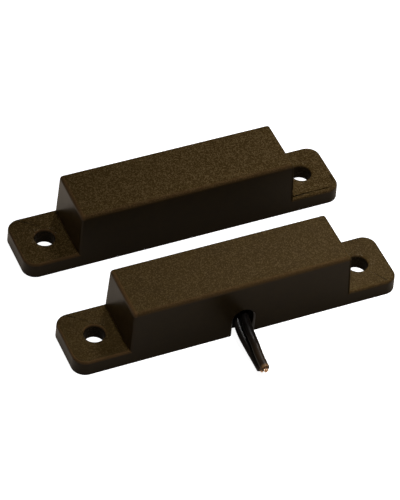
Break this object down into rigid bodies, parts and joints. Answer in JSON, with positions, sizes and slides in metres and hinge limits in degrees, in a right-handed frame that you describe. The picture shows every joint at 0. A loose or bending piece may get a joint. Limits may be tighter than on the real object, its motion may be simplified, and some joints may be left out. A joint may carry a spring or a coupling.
{
  "type": "door contact sensor",
  "caption": "Surface-mount door contact: a reed switch unit with short bare-ended leads and a matching magnet unit, each a raised block between drilled ears.",
  "frame": {"origin": "middle of the switch unit's mounting face, between its two screw holes", "axes": "+X along the units, +Y from the switch unit to the magnet unit, +Z out of the mounting surface"},
  "size_m": [0.064, 0.0501, 0.0123],
  "materials": {
    "housing_plastic": "dark brown moulded plastic, fine spark-eroded grain on top, satin on the walls",
    "potting": "black cast epoxy with a slight meniscus",
    "reed_glass": "pale green clear glass",
    "nickel_iron": "drawn and stamped nickel-iron",
    "solder": "dull bright solder",
    "sleeve": "matte shrunk sleeve",
    "black_jacket": "black extruded vinyl",
    "brown_jacket": "dark brown extruded vinyl",
    "copper": "bare stranded copper",
    "magnet": "cast magnet alloy, ground faces"
  },
  "bodies": {
    "switch": {"switch_housing": "housing_plastic", "switch_potting": "potting", "reed_glass": "reed_glass", "left_reed_lead": "nickel_iron", "right_reed_lead": "nickel_iron", "left_solder_joint": "solder", "right_solder_joint": "solder", "left_joint_sleeve": "sleeve", "right_joint_sleeve": "sleeve", "black_lead_jacket": "black_jacket", "black_lead_core": "copper", "brown_lead_jacket": "brown_jacket", "brown_lead_core": "copper"},
    "left_blade": {"left_reed_blade": "nickel_iron"},
    "right_blade": {"right_reed_blade": "nickel_iron"},
    "magnet_unit": {"magnet_housing": "housing_plastic", "bar_magnet": "magnet", "magnet_potting": "potting"}
  },
  "joints": [
    {"name": "magnet_slide", "type": "slide", "parent": "switch", "child": "magnet_unit", "axis": [0, 1, 0], "range_m": [-0.0117, 0.05]},
    {"name": "left_blade_flex", "type": "hinge", "parent": "switch", "child": "left_blade", "pos_m": [-0.0065, 0.00089, 0.0064], "axis": [0, 0, 1], "range_deg": [0, 0.2], "stiffness_Nm_per_rad": 0.00005},
    {"name": "right_blade_flex", "type": "hinge", "parent": "switch", "child": "right_blade", "pos_m": [0.0065, 0.0012, 0.0064], "axis": [0, 0, 1], "range_deg": [0, 0.2], "stiffness_Nm_per_rad": 0.00005}
  ],
  "couplings": [
    {"joint": "right_blade_flex", "follows": "left_blade_flex", "ratio": 1}
  ]
}
